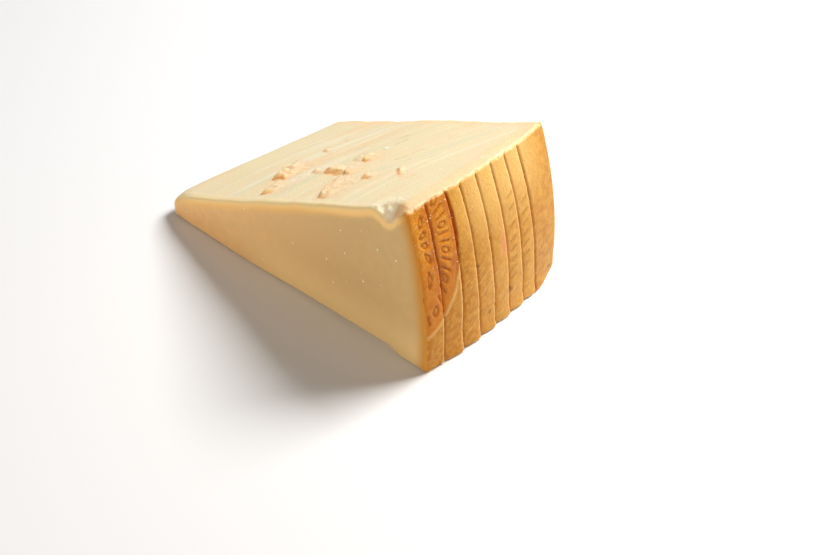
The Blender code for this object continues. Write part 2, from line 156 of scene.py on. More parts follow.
chip = {
    "x": 193.8, "toTip": 12.0, "toRind": 11.5, "halfYToTip": 9.0, "halfYToRind": 6.0,
    "depth": 8.0, "power": 1.1, "soft": 0.6, "crumbs": 0.8,
}
nicks = {"height": 0.8, "size": 2.6, "reach": 3.2, "stripHeight": 0.3, "stripSize": 1.9}
sag = {"rind": 1.4, "rindReach": 9.0, "rindEnd": 0.75, "corner": 1.0, "cornerReach": 14.0}
bow = {"out": 1.7, "start": 130.0, "full": 70.0, "depth": 25.0}     # of the smooth face, to the tip
arch = {"start": 90.0, "peak": 187.0, "end": 193.0, "height": 2.8, "power": 1.3, "depth": 7.0}

# The wedge rests on the flat triangle between these places, and the split face rises outside it
stance = {
    "feet": ((22.3, 3.5), (210.6, 2.4), (196.5, 98.8)),
    "step": 0.3, "rise": 0.06, "most": 1.2, "fade": 8.0,
}

rounding = {
    "tip": 5.2, "rind": 1.6, "front": 2.1, "back": 1.5, "top": 1.8, "base": 0.9,
    "rimBase": 6.5, "rimTop": 2.6, "rimLift": 7.5, "rimReach": 16.0,
    "noseBase": 8.0, "noseNear": 12.0, "noseTop": 6.5, "noseReach": 22.0,
}

grid = {
    "cell": 2.4,
    "slack": 0.25,
    "edgeSteps": (0.0, 0.5, 1.2, 2.4, 4.2),
    "topCuts": 1,
    "rindCuts": 2,
    "finestCuts": 1,
    "finestBoxes": ((58.0, 4.0, 170.0, 66.0), (176.0, 0.0, 214.0, 16.0)),   # low x, low y, high x, high y
    "settlingRounds": 3,
}


def smoothStep(low, high, value):
    t = min(max((value - low) / (high - low), 0.0), 1.0)
    return t * t * (3 - 2 * t)


def noiseAt(x, y, layer):
    return noise.noise(Vector((x, y, layer)))


def topHeight(x, y):
    swell = splitFace["tipSwell"] * smoothStep(splitFace["tipSwellReach"], 0, x - tipX(y))
    swell *= smoothStep(*splitFace["tipSwellY"], y)
    return splitFace["start"] + splitFace["rise"] * x - splitFace["tilt"] * y / wheel["depth"] + swell


def tipX(y):
    return splitFace["tipNear"] + (splitFace["tipFar"] - splitFace["tipNear"]) * y / wheel["depth"]


def rindX(y, z):
    axisX = wheel["rindReach"] - math.sqrt(wheel["radius"] ** 2 - wheel["foremost"] ** 2)
    share = y / wheel["depth"]
    radius = wheel["radius"] - wheel["plateDrop"] * share ** wheel["plateDropPower"]
    bow = 1 + wheel["plateBow"] * share ** 2
    return axisX + math.sqrt(radius ** 2 - bow * (z - wheel["foremost"]) ** 2)


# Stations of the box grid that the wedge is shaped from
def fillStations(marks):
    stations = [marks[0]]
    for mark in marks[1:]:
        start = stations[-1]
        count = max(1, math.ceil((mark - start) / grid["cell"] - grid["slack"]))
        stations += [start + (mark - start) * i / count for i in range(1, count + 1)]
    return stations


def edgedMarks(length, inner=()):
    near = list(grid["edgeSteps"])
    far = [length - step for step in reversed(near)]
    return near + sorted(mark for mark in inner if near[-1] < mark < far[0]) + far


def scoreMarks(scores):
    width = rind["scoreHalfWidth"]
    return [score + side * width for score in scores for side in (-1, 0, 1)]


def acrossStations():
    base = edgedMarks(wheel["depth"], scoreMarks(rind["scoresBase"]))
    top = edgedMarks(wheel["depth"], scoreMarks(rind["scoresTop"]))
    pairs = [(base[0], top[0])]
    for start, end in zip(zip(base, top), zip(base[1:], top[1:])):
        count = max(1, math.ceil((end[0] - start[0]) / grid["cell"] - grid["slack"]))
        for i in range(1, count + 1):
            t = i / count
            pairs.append((start[0] + (end[0] - start[0]) * t, start[1] + (end[1] - start[1]) * t))
    return pairs


def between(stations, place):
    low = min(int(place), len(stations) - 2)
    t = place - low
    return stations[low] + (stations[low + 1] - stations[low]) * t


# The rind: strips between wandering knife scores, and the pressed oval
def scorePlaces(z):
    share = min(z / topHeight(wheel["rindReach"], wheel["depth"]), 1.0)
    places = []
    for number, (base, top) in enumerate(zip(rind["scoresBase"], rind["scoresTop"])):
        wander = rind["scoreWander"] * noiseAt(z / rind["scoreWanderLength"], number * 3.1, 2.6)
        places.append(base + (top - base) * share + wander)
    return places


def stripRelief(y, z, below):
    scores = scorePlaces(z)
    bounds = [0.0] + scores + [wheel["depth"]]
    relief = 0.0
    place = 0.5
    for low, high in zip(bounds, bounds[1:]):
        if low <= y <= high:
            place = (y - low) / (high - low)
            lastStrip = high >= wheel["depth"]
            rise = 1 - smoothStep(0, rind["lastStripFall"], place) if lastStrip else place
            relief = rind["stripCrown"] * math.sin(math.pi * place) + rind["stripRise"] * rise
            foot = rind["flareNear"] + (1 - rind["flareNear"]) * rise
            foot *= smoothStep(rind["flareStart"], 2 * rind["flareStart"], y)
            relief += rind["flare"] * foot * max(0.0, 1 - z / rind["flareHeight"]) ** 2
    nick = max(0.0, noiseAt(y / nicks["stripSize"], z / nicks["stripSize"], 15.5) - 0.1)
    relief -= nicks["stripHeight"] * 2 * nick * smoothStep(0.7, 0.95, place)
    gap = min(abs(y - score) for score in scores)
    deep = smoothStep(*rind["scoreTop"], below)
    if gap < rind["scoreHalfWidth"]:
        relief -= rind["scoreDepth"] * (1 - gap / rind["scoreHalfWidth"]) * deep
    return relief, gap + 2 * (1 - deep), place


def ovalGap(y, z):
    # distance inside the oval's outline, and the turn round it
    dy = (y - pressed["midY"]) / pressed["halfY"]
    dz = (z - pressed["midZ"]) / pressed["halfZ"]
    out = math.hypot(dy, dz)
    if out < 0.05:
        return pressed["halfY"], 0.0
    slope = math.hypot(dy / pressed["halfY"], dz / pressed["halfZ"]) / out
    return (1 - out) / slope, math.atan2(dz, dy)


def ovalRelief(y, z):
    # relief, how much a place is groove, pale lip or darkest toast, and the distance inside
    gap, turn = ovalGap(y, z)
    upper = smoothStep(*pressed["ringFades"], z)
    lip = smoothStep(1.3, 0.3, abs(gap)) * (1 - upper)
    if gap <= 0:
        return 0.25 * lip, {"groove": 0.0, "lip": lip, "toast": 0.0}, gap
    ring = max(0.0, 1 - abs(gap - pressed["ringHalfWidth"]) / pressed["ringHalfWidth"]) * upper
    groove = ring
    relief = 0.25 * lip - pressed["ringDepth"] * ring
    relief -= pressed["fieldDepth"] * smoothStep(0, pressed["ringHalfWidth"], gap)
    mean = (pressed["halfY"] + pressed["halfZ"]) / 2
    around = mean * turn + (pressed["halfZ"] - pressed["halfY"]) / 4 * math.sin(2 * turn)
    if pressed["barFrom"] < gap < pressed["barTo"]:
        number, phase = divmod(around / pressed["barPitch"], 1.0)
        aside = (phase - 0.5) * pressed["barPitch"]
        if number % pressed["ringEvery"] == 0:
            middle = (pressed["barFrom"] + pressed["barTo"]) / 2
            reach = math.hypot(aside, gap - middle) / pressed["ringRadius"]
            bar = smoothStep(1.0, 0.8, reach) * smoothStep(0.35, 0.6, reach)
        else:
            bar = smoothStep(1.0, 0.4, abs(aside) / pressed["barHalfWidth"])
            bar *= smoothStep(0, 0.9, gap - pressed["barFrom"]) * smoothStep(0, 0.9, pressed["barTo"] - gap)
        relief -= pressed["barDepth"] * bar
        groove = max(groove, bar)
    if abs(gap - pressed["dotRow"]) < pressed["dotRadius"]:
        phase = (around * 0.4 / pressed["dotPitch"]) % 1.0
        reach = math.hypot((phase - 0.5) * pressed["dotPitch"], gap - pressed["dotRow"]) / pressed["dotRadius"]
        dot = smoothStep(1.0, 0.85, reach) * smoothStep(0.3, 0.55, reach)
        relief -= pressed["dotDepth"] * dot
        groove = max(groove, dot)
    high = smoothStep(pressed["toastFrom"], pressed["toastTo"], z)
    uneven = 1.2 * noiseAt(y / 4.0, z / 6.0, 35.6)
    fromScore = abs(y - scorePlaces(z)[0] - uneven) / pressed["toastWidth"]
    fromRing = (gap - 1.5 - uneven) / pressed["toastWidth"]
    toast = max(smoothStep(1.2, 0.3, fromScore), smoothStep(1.3, 0.4, abs(fromRing)) * upper) * high
    return relief, {"groove": groove, "lip": lip, "toast": toast}, gap


def dashShare(y, z):
    share = 0.0
    turn = math.radians(dashes["turn"])
    for midY, midZ in dashes["places"]:
        dy, dz = y - midY, z - midZ
        if abs(dy) < 4 and abs(dz) < 4:
            along = (dy * math.cos(turn) + dz * math.sin(turn)) / dashes["halfLength"]
            across = (dz * math.cos(turn) - dy * math.sin(turn)) / dashes["halfWidth"]
            share = max(share, smoothStep(1.0, 0.7, abs(along)) * smoothStep(1.0, 0.3, abs(across)))
    return share


def blot(y, z, place):
    midY, midZ, halfY, halfZ = place
    reach = math.hypot((y - midY) / halfY, (z - midZ) / halfZ)
    return smoothStep(1.3, 0.4, reach + 0.35 * noiseAt(y / halfY, z / halfZ, 3.3))


# The upper split face
def flakeRelief(x, y):
    # the flakes' height, and how much a place is foot, wall, crest and broken paste round them
    size = flakeShape["warpSize"]
    x += flakeShape["warp"] * noiseAt(x / size, y / size, 41.7)
    y += flakeShape["warp"] * noiseAt(x / size, y / size, 57.3)
    relief = foot = wall = crest = halo = 0.0
    for cornerX, cornerY, wallTurn, wallLength, footTurn, footLength, height, run, holdsHeight in flakes:
        spot = Vector((x - cornerX, y - cornerY))
        if spot.length > 45:
            continue
        wallWay = Vector((math.cos(math.radians(wallTurn)), math.sin(math.radians(wallTurn))))
        footWay = Vector((math.cos(math.radians(footTurn)), math.sin(math.radians(footTurn))))
        spread = footWay.cross(wallWay)
        alongFoot = spot.cross(wallWay) / spread
        alongWall = footWay.cross(spot) / spread
        reach = footLength + flakeShape["spread"] * alongWall
        strength = min(1.0, height / flakeShape["fullHeight"])
        hold = smoothStep(wallLength, flakeShape["hold"] * wallLength, alongWall)
        away = smoothStep(reach + flakeShape["haloBehind"], 0.3 * reach, alongFoot)
        before = smoothStep(-flakeShape["haloBefore"], 0.5, alongFoot)
        before *= smoothStep(-flakeShape["haloBefore"], 0.5, alongWall)
        halo = max(halo, (0.4 + 0.6 * strength) * away * before * smoothStep(1.3 * wallLength, 0.4 * wallLength, alongWall))
        if 0 < alongFoot < reach and 0 < alongWall < wallLength:
            fall = 1 - (alongFoot / reach) ** holdsHeight
            slope = smoothStep(0, run, alongWall * spread)
            stand = height * fall * hold * slope
            stand *= smoothStep(0, flakeShape["wall"], alongFoot * spread)
            stand *= 1 + flakeShape["uneven"] * noiseAt(x / 3.1, y / 3.1, 61.3)
            relief += stand
            ochre = smoothStep(1.25 * run, 0.9 * run, alongWall * spread) * min(1.0, 2.2 * fall)
            ochre = max(ochre, 0.6 * hold * smoothStep(flakeShape["ochreWidth"], 0.5, alongFoot * spread))
            if strength * ochre > foot:
                foot = strength * ochre
                crest = slope
            wallShare = smoothStep(1.3 * flakeShape["wall"], 0.3 * flakeShape["wall"], alongFoot * spread)
            wall = max(wall, (0.4 + 0.6 * strength) * wallShare * smoothStep(wallLength, 0.6 * wallLength, alongWall))
    return relief, {"foot": foot, "wall": wall, "crest": crest, "halo": halo}


def hairlineRelief(x, y):
    relief = 0.0
    mask = 0.0
    for x0, y0, x1, y1, halfWidth, depth in hairlines:
        start = Vector((x0, y0))
        run = Vector((x1, y1)) - start
        spot = Vector((x, y)) - start
        along = spot.dot(run) / run.length_squared
        if not -0.1 < along < 1.1:
            continue
        gap = abs(spot.x * run.y - spot.y * run.x) / run.length + 0.25 * noiseAt(x / 3, y / 3, 8.8)
        line = smoothStep(halfWidth, 0, gap) * smoothStep(-0.1, 0.2, along) * smoothStep(1.1, 0.8, along)
        relief -= depth * line
        mask = max(mask, line * depth / 0.45)
    return relief, mask


def grainRelief(x, y):
    # the same streaks and waves as the solid has
    face = splitFace
    lean = x - face["streakLean"] * y * y / wheel["depth"]
    streak = noiseAt(lean / face["streakPitch"], y / face["streakLength"], face["layers"][0])
    fine = noiseAt(lean / face["finePitch"], y / face["fineLength"], face["layers"][1])
    wave = noiseAt(x / face["waveLength"], y / face["waveLength"], face["layers"][2])
    return face["streakHeight"] * streak + face["fineHeight"] * fine + face["waveHeight"] * wave


def fineGrain(x, y, crumbly):
    # hair streaks everywhere, crumbs where the paste broke out
    face = splitFace
    lean = x - face["streakLean"] * y * y / wheel["depth"]
    hair = noiseAt(lean / face["hairPitch"], y / face["hairLength"], face["layers"][3])
    grain = noiseAt(x / face["grainSize"], y / face["grainSize"], face["layers"][4])
    relief = face["hairHeight"] * hair + face["grainHeight"] * grain
    if crumbly > 0.02:
        spot = Vector((x, y * 0.8, face["layers"][5])) / face["crumbSize"]
        spot += 0.35 * noise.noise_vector(spot * 1.7)
        crumb = noise.voronoi(spot)[0][0]
        relief += face["crumbHeight"] * crumbly * (0.45 - crumb)
    return relief


def chipRelief(x, y):
    halfX, halfY = (chip["toTip"], chip["halfYToTip"])
    if x > chip["x"]:
        halfX, halfY = (chip["toRind"], chip["halfYToRind"])
    uneven = 0.16 * noiseAt(x / 2.6, y / 2.6, 71.9)
    reach = math.hypot((x - chip["x"]) / halfX, y / halfY) + uneven
    bowl = chip["soft"] * smoothStep(1.15, 0, reach) + (1 - chip["soft"]) * max(0.0, 1 - reach) ** chip["power"]
    return -chip["depth"] * bowl, smoothStep(1.9, 0.75, reach)


def archLift(x, y):
    # the worn lower edge of the smooth face lifts off the board, most just before the rind
    if not arch["start"] < x < arch["end"]:
        return 0.0
    rise = min(1.0, (x - arch["start"]) / (arch["peak"] - arch["start"])) ** arch["power"]
    rise *= smoothStep(arch["end"], arch["peak"], x)
    return arch["height"] * rise * smoothStep(arch["depth"], 0, y)


def baseRise(x, y):
    feet = [Vector(foot) for foot in stance["feet"]]
    spot = Vector((x, y))
    inside = True
    gap = wheel["depth"]
    for start, end in zip(feet, feet[1:] + feet[:1]):
        run = end - start
        share = min(max((spot - start).dot(run) / run.length_squared, 0.0), 1.0)
        gap = min(gap, (spot - start - run * share).length)
        inside = inside and run.cross(spot - start) >= 0
    return 0.0 if inside else min(stance["step"] + stance["rise"] * gap, stance["most"])


def sharpSpot(along, acrossPair, up):
    y = acrossPair[0] + (acrossPair[1] - acrossPair[0]) * up * along ** 3
    x = wheel["rindReach"]
    z = 0.0
    for _ in range(grid["settlingRounds"]):
        z = up * topHeight(x, y)
        x = tipX(y) + (rindX(y, z) - tipX(y)) * along
    return Vector((x, y, z))


def roundEdges(spot):
    # pulls a point of the sharp form in, so that the edges become elliptic arcs
    x, y, z = spot
    depths = ((x - tipX(y), rindX(y, z) - x), (y, wheel["depth"] - y), (z, topHeight(x, y) - z))
    rim = smoothStep(rounding["rimReach"], 0, depths[0][1])
    rim *= smoothStep(rounding["rimReach"], 0, wheel["depth"] - y)
    nose = smoothStep(rounding["noseReach"], 0, depths[0][0])
    up = z / topHeight(x, y)
    rimRound = rounding["rimBase"] + (rounding["rimTop"] - rounding["rimBase"]) * up
    noseRound = rounding["noseBase"] + (rounding["noseNear"] - rounding["noseBase"]) * up
    frontRound = rounding["front"] + (noseRound - rounding["front"]) * nose
    backRound = rounding["back"] + (rimRound - rounding["back"]) * rim
    topRound = rounding["top"] + (rounding["noseTop"] - rounding["top"]) * nose
    radii = (
        (rounding["tip"], rounding["rind"] + (rimRound - rounding["rind"]) * rim),
        (frontRound, backRound),
        (rounding["base"] + rounding["rimLift"] * rim, topRound),
    )
    overlap = Vector((0, 0, 0))
    share = Vector((0, 0, 0))
    for axis in range(3):
        for way, depth, radius in zip((-1, 1), depths[axis], radii[axis]):
            if depth < radius:
                overlap[axis] = way * (radius - depth)
                share[axis] = 1 - depth / radius
    if share.length <= 1:
        return spot.copy()
    return spot - overlap * (1 - 1 / share.length)


def finishedSpot(along, acrossPair, up, marks):
    # the worn form with its relief, and what the materials read there
    spot = sharpSpot(along, acrossPair, up)
    x, y, z = spot
    underRind = rindX(y, z) - x
    below = topHeight(x, y) - z
    moved = roundEdges(spot)
    moved.y -= bow["out"] * smoothStep(bow["start"], bow["full"], x) * smoothStep(bow["depth"], 0, y)
    marks["underRind"] = underRind
    marks["toPlate"] = wheel["depth"] - y
    marks["belowTop"] = below
    marks["score"] = 4.0
    marks["strip"] = 0.5
    marks["ovalGap"] = -4.0

    if underRind < rind["fade"]:
        strips, gap, place = stripRelief(y, z, below)
        oval, pressedMarks, inside = ovalRelief(y, z)
        dash = dashShare(y, z)
        strips -= dashes["depth"] * dash
        relief = (strips + oval) * smoothStep(0, rind["fadeToPlate"], wheel["depth"] - y)
        moved.x += relief * smoothStep(rind["fade"], 0, underRind)
        marks["score"] = gap
        marks["strip"] = place
        marks.update(pressedMarks)
        marks["dash"] = dash
        marks["ovalGap"] = max(-4.0, min(inside, 30.0))
        marks["stain"] = blot(y, z, pinkStain)
        marks["spot"] = max(blot(y, z, place) for place in brownSpots)
        if underRind < 2.0:
            dents = rind["dentHeight"] * noiseAt(y / rind["dentSize"], z / rind["dentSize"], 4.4)
            pores = rind["poreHeight"] * noiseAt(y / rind["poreSize"], z / rind["poreSize"], 6.6)
            moved.x += (dents + pores) * smoothStep(2.0, 0, underRind)

    inFace = smoothStep(0, 2.5, underRind) * smoothStep(0, 8.0, x - tipX(y))
    stand, broken = flakeRelief(x, y)
    moved.z += (stand + grainRelief(x, y)) * inFace * up ** 2
    pale = smoothStep(paleBump[2], 0.0, math.hypot(x - paleBump[0], y - paleBump[1]))
    moved.z += paleBump[3] * pale * up ** 2
    chipDrop, crumbled = chipRelief(x, y)
    if below < splitFace["fadeDepth"]:
        creases, crease = hairlineRelief(x, y)
        crumbly = max(0.8 * broken["halo"], chip["crumbs"] * crumbled)
        fine = creases + fineGrain(x, y, crumbly)
        edge = smoothStep(0, 1.5, underRind) * smoothStep(0, 4.0, x - tipX(y))
        moved.z += fine * edge * smoothStep(splitFace["fadeDepth"], 0, below)
        topShare = smoothStep(splitFace["fadeDepth"], 0.5, below)
        for name, value in broken.items():
            marks[name] = value * topShare
        marks["crease"] = crease * topShare
        marks["pale"] = pale * topShare
        nick = max(0.0, noiseAt(y / nicks["size"], x / nicks["size"], 27.1) + 0.1)
        moved.z -= nicks["height"] * nick * smoothStep(nicks["reach"], 0.5, underRind) * topShare
    marks["crumbled"] = crumbled * smoothStep(9.0, 5.0, below)
    marks["lean"] = x - splitFace["colorLean"] * y * y / wheel["depth"]

    corner = sag["rind"] * smoothStep(1.0, sag["rindEnd"], y / wheel["depth"])
    corner += sag["corner"] * smoothStep(sag["cornerReach"], 0, y)
    moved.z -= corner * smoothStep(sag["rindReach"], 0, underRind) * smoothStep(0.7, 1.0, up)
    moved.z += chipDrop * smoothStep(0.5, 1.0, up)
    moved.z += archLift(x, y) * (1 - up) ** 2
    if z < stance["fade"]:
        moved.z += baseRise(x, y) * smoothStep(stance["fade"], 0, z)
    return moved


markNames = (
    "underRind", "toPlate", "belowTop", "lean", "score", "strip", "ovalGap", "groove", "lip", "toast", "dash",
    "stain", "spot", "foot", "wall", "crest", "halo", "crease", "pale", "crumbled",
)


def unitGrid(counts):
    bm = bmesh.new()
    bmesh.ops.create_cube(bm, size=1.0)
    bmesh.ops.translate(bm, verts=bm.verts, vec=(0.5, 0.5, 0.5))
    for axis, count in enumerate(counts):
        edges = []
        for edge in bm.edges:
            run = edge.verts[1].co - edge.verts[0].co
            if abs(run[axis]) > 0.5 * run.length:
                edges.append(edge)
        bmesh.ops.subdivide_edges(bm, edges=edges, cuts=count - 1, use_grid_fill=True)
    return bm


def sideFaces(bm, axis):
    # the unit box's faces on the far side of this axis
    return [face for face in bm.faces if face.calc_center_median()[axis] > 1 - 1e-6]


def finestFaces(bm, alongStations, acrossTop, counts):
    # faces of the unit box's top over the flakes and the crumbled corner
    length = wheel["rindReach"] - splitFace["tipNear"]
    chosen = []
    for face in sideFaces(bm, 2):
        centre = face.calc_center_median()
        y = between(acrossTop, centre.y * counts[1])
        x = tipX(y) + (length - tipX(y) + splitFace["tipNear"]) * between(alongStations, centre.x * counts[0])
        if any(lowX < x < highX and lowY < y < highY for lowX, lowY, highX, highY in grid["finestBoxes"]):
            chosen.append(face)
    return chosen


def cutFiner(bm, faces, cuts):
    edges = {edge for face in faces for edge in face.edges}
    bmesh.ops.subdivide_edges(bm, edges=list(edges), cuts=cuts, use_grid_fill=True)


def buildWedge():
    length = wheel["rindReach"] - splitFace["tipNear"]
    height = topHeight(wheel["rindReach"], wheel["depth"])
    alongStations = [station / length for station in fillStations(edgedMarks(length))]
    upStations = [station / height for station in fillStations(edgedMarks(height))]
    acrossPairs = acrossStations()
    acrossBase = [pair[0] for pair in acrossPairs]
    acrossTop = [pair[1] for pair in acrossPairs]
    counts = (len(alongStations) - 1, len(acrossPairs) - 1, len(upStations) - 1)

    bm = unitGrid(counts)
    cutFiner(bm, sideFaces(bm, 0), grid["rindCuts"])
    cutFiner(bm, sideFaces(bm, 2), grid["topCuts"])
    cutFiner(bm, finestFaces(bm, alongStations, acrossTop, counts), grid["finestCuts"])
    print("grid", counts, "gives", len(bm.verts), "points")

    layers = {name: bm.verts.layers.float.new(name) for name in markNames}
    for vert in bm.verts:
        column, row, level = (co * count for co, count in zip(vert.co, counts))
        marks = dict.fromkeys(markNames, 0.0)
        pair = (between(acrossBase, row), between(acrossTop, row))
        vert.co = finishedSpot(between(alongStations, column), pair, between(upStations, level), marks)
        for name, layer in layers.items():
            vert[layer] = marks[name]
    return bm


def settle(bm):
    # millimetres to metres, then onto the solid's place
    bmesh.ops.scale(bm, verts=bm.verts, vec=(mm, mm, mm))
    spots = [vert.co for vert in bm.verts]
    low = Vector(min(spot[i] for spot in spots) for i in range(3))
    high = Vector(max(spot[i] for spot in spots) for i in range(3))
    middle = (Vector(cornerLow) + Vector(cornerHigh)) / 2
    shift = Vector((middle.x - (low.x + high.x) / 2, middle.y - (low.y + high.y) / 2, cornerLow[2] - low.z))
    bmesh.ops.translate(bm, verts=bm.verts, vec=shift)
    print("shift of the shape's own frame", [round(value, 5) for value in shift])
    return shift


def makeWedgeObject():
    bm = buildWedge()
    underRind = bm.verts.layers.float["underRind"]
    toPlate = bm.verts.layers.float["toPlate"]
    for face in bm.faces:
        onRind = all(vert[underRind] < 1e-4 for vert in face.verts)
        onPlate = all(vert[toPlate] < 1e-4 for vert in face.verts)
        face.material_index = 1 if onRind or onPlate else 0
        face.smooth = True
    bmesh.ops.triangulate(bm, faces=[face for face in bm.faces if len(face.verts) > 4])
    shift = settle(bm)
    bmesh.ops.recalc_face_normals(bm, faces=bm.faces)
    mesh = bpy.data.meshes.new("cheeseWedge")
    bm.to_mesh(mesh)
    triangles = sum(len(face.verts) - 2 for face in bm.faces)
    bm.free()
    wedge = bpy.data.objects.new("cheeseWedge", mesh)
    bpy.context.scene.collection.objects.link(wedge)
    print("wedge:", triangles, "triangles")
    return wedge, shift


# Materials
paste = {
    "cream": (0.91, 0.76, 0.48), "coolStreak": (0.80, 0.74, 0.49), "pinkStreak": (0.95, 0.66, 0.38),
    "paleStreak": (0.96, 0.86, 0.64),
    "smoothCut": (0.72, 0.50, 0.225), "smoothToTip": (0.89, 0.56, 0.25), "smoothToRindShaded": (0.64, 0.45, 0.20),
    "smoothLowLit": (0.91, 0.68, 0.33),
    "underEdgeGlow": (1.0, 0.63, 0.19), "underEdgeGlowReach": 9.0,
    "edgeWarmLit": (1.0, 0.80, 0.50), "edgeGlowCream": (1.0, 0.77, 0.42), "edgeGlow": (1.0, 0.70, 0.27),
    "edgeGlowReach": 5.0, "edgeGlowWider": 2.5,
    "underRind": (0.62, 0.28, 0.03), "underRindReach": 13.0,
    "rindBand": (0.96, 0.66, 0.36), "skin": (0.72, 0.44, 0.14),
    "flakeFootShade": (0.84, 0.43, 0.12), "flakeCrestGlow": (0.96, 0.66, 0.33), "flakeWallShade": (0.48, 0.31, 0.13),
    "crease": (0.52, 0.40, 0.20),
    "broken": (0.97, 0.63, 0.36), "crumb": (0.96, 0.85, 0.63), "shadedCrumb": (0.80, 0.53, 0.27),
    "crystal": (0.98, 0.94, 0.82),
    "streakStrength": 0.75, "pinkStrength": 0.6, "crystalStrength": 0.9,
    "splitRoughness": 0.55, "smoothRoughness": 0.42, "specular": 0.25,
    "scatterWeight": 0.55, "scatter": (1.0, 0.55, 0.25), "scatterDepth": 0.005,
    "bumpDistance": 0.0004,
}

rindLook = {
    "base": (0.56, 0.19, 0.006), "farBaseLit": (0.78, 0.385, 0.095), "plateSide": (0.56, 0.22, 0.035),
    "pale": (0.88, 0.50, 0.09), "upper": (0.97, 0.60, 0.20), "nearUpperLit": (0.97, 0.52, 0.10),
    "toasted": (0.58, 0.23, 0.02),
    "farEdgeWornLit": (0.92, 0.62, 0.24), "scoreShade": (0.28, 0.10, 0.015),
    "field": (0.86, 0.29, 0.012), "fieldPale": (0.88, 0.46, 0.07), "fieldDark": (0.62, 0.19, 0.012),
    "darkToast": (0.48, 0.12, 0.010), "groove": (0.54, 0.13, 0.004),
    "lip": (0.90, 0.60, 0.24), "glint": (1.0, 0.86, 0.62),
    "dash": (0.46, 0.20, 0.04), "stain": (0.88, 0.33, 0.15), "spot": (0.30, 0.12, 0.03),
    "plate": (0.58, 0.36, 0.12), "plateDark": (0.50, 0.28, 0.075), "platePale": (0.66, 0.45, 0.18),
    "rim": (0.66, 0.29, 0.04), "scratch": (0.88, 0.62, 0.28), "topRim": (0.97, 0.76, 0.40),
    "roughness": 0.4, "fieldRoughness": 0.28, "specular": 0.13,
    "scatterWeight": 0.4, "scatter": (1.0, 0.45, 0.15), "scatterDepth": 0.002,
    "bumpDistance": 0.00025,
}


def addNode(tree, kind, inputs=None, **settings):
    node = tree.nodes.new(kind)
    for name, value in settings.items():
        setattr(node, name, value)
    for name, value in (inputs or {}).items():
        if isinstance(value, bpy.types.NodeSocket):
            tree.links.new(value, node.inputs[name])
        else:
            node.inputs[name].default_value = value
    return node


def calc(tree, operation, first, second=0.0):
    return addNode(tree, "ShaderNodeMath", {0: first, 1: second}, operation=operation).outputs[0]


def product(tree, first, *others):
    for other in others:
        first = calc(tree, "MULTIPLY", first, other)
    return first


def faded(tree, value, low, high):
    node = addNode(tree, "ShaderNodeMapRange", {"Value": value, "From Min": low, "From Max": high},
                   interpolation_type="SMOOTHSTEP")
    return node.outputs[0]


def mixed(tree, factor, first, second):
    first, second = [(*value, 1) if isinstance(value, tuple) else value for value in (first, second)]
    return addNode(tree, "ShaderNodeMix", {0: factor, 6: first, 7: second}, data_type="RGBA").outputs[2]


def marked(tree, name):
    return addNode(tree, "ShaderNodeAttribute", attribute_name=name).outputs["Fac"]


def placed(tree, vector, location=(0, 0, 0), turn=(0, 0, 0), scale=(1, 1, 1)):
    turn = [math.radians(angle) for angle in turn]
    inputs = {"Vector": vector, "Location": location, "Rotation": turn, "Scale": scale}
    return addNode(tree, "ShaderNodeMapping", inputs).outputs[0]


def noisy(tree, vector, scale, detail=2.0, roughness=0.5, distortion=0.0):
    inputs = {"Vector": vector, "Scale": scale, "Detail": detail, "Roughness": roughness}
    inputs["Distortion"] = distortion
    return addNode(tree, "ShaderNodeTexNoise", inputs).outputs["Fac"]


# Effects that both materials use, as groups that read a place in millimetres
def newGroup(name, inputs, outputs):
    tree = bpy.data.node_groups.new(name, "ShaderNodeTree")
    for title, kind, value in inputs:
        socket = tree.interface.new_socket(name=title, in_out="INPUT", socket_type="NodeSocket" + kind)
        if value is not None:
            socket.default_value = value
    for title in outputs:
        tree.interface.new_socket(name=title, in_out="OUTPUT", socket_type="NodeSocketFloat")
    given = tree.nodes.new("NodeGroupInput").outputs
    return tree, given, tree.nodes.new("NodeGroupOutput").inputs


def makeMottle():
    # broad soft patches and finer ones, each from 0 to 1
    inputs = (("Place", "Vector", None), ("Patch Size", "Float", 14.0), ("Contrast", "Float", 0.14))
    tree, given, result = newGroup("softMottle", inputs, ("Broad", "Fine"))
    scale = calc(tree, "DIVIDE", 1.0, given["Patch Size"])
    low = calc(tree, "SUBTRACT", 0.5, given["Contrast"])
    high = calc(tree, "ADD", 0.5, given["Contrast"])
    broad = noisy(tree, given["Place"], scale, detail=3.0)
    fine = noisy(tree, given["Place"], calc(tree, "MULTIPLY", scale, 5.3), detail=2.0)
    tree.links.new(faded(tree, broad, low, high), result["Broad"])
    tree.links.new(faded(tree, fine, low, high), result["Fine"])
    return tree


def makeSpecks():
    # round specks scattered over the place's first two coordinates, in a few of the cells only
    inputs = (("Place", "Vector", None), ("Pitch", "Float", 9.0),
              ("Radius", "Float", 0.6), ("Share", "Float", 0.5))
    tree, given, result = newGroup("scatteredSpecks", inputs, ("Mask",))
    scale = calc(tree, "DIVIDE", 1.0, given["Pitch"])
    inputs = {"Vector": given["Place"], "Scale": scale}
    cells = addNode(tree, "ShaderNodeTexVoronoi", inputs, voronoi_dimensions="2D")
    reach = calc(tree, "MULTIPLY", cells.outputs["Distance"], given["Pitch"])
    draw = addNode(tree, "ShaderNodeSeparateColor", {0: cells.outputs["Color"]})
    radius = product(tree, given["Radius"], calc(tree, "ADD", 0.45, draw.outputs["Green"]))
    inner = calc(tree, "MULTIPLY", radius, 0.5)
    kept = calc(tree, "LESS_THAN", draw.outputs["Red"], given["Share"])
    tree.links.new(product(tree, faded(tree, reach, radius, inner), kept), result["Mask"])
    return tree


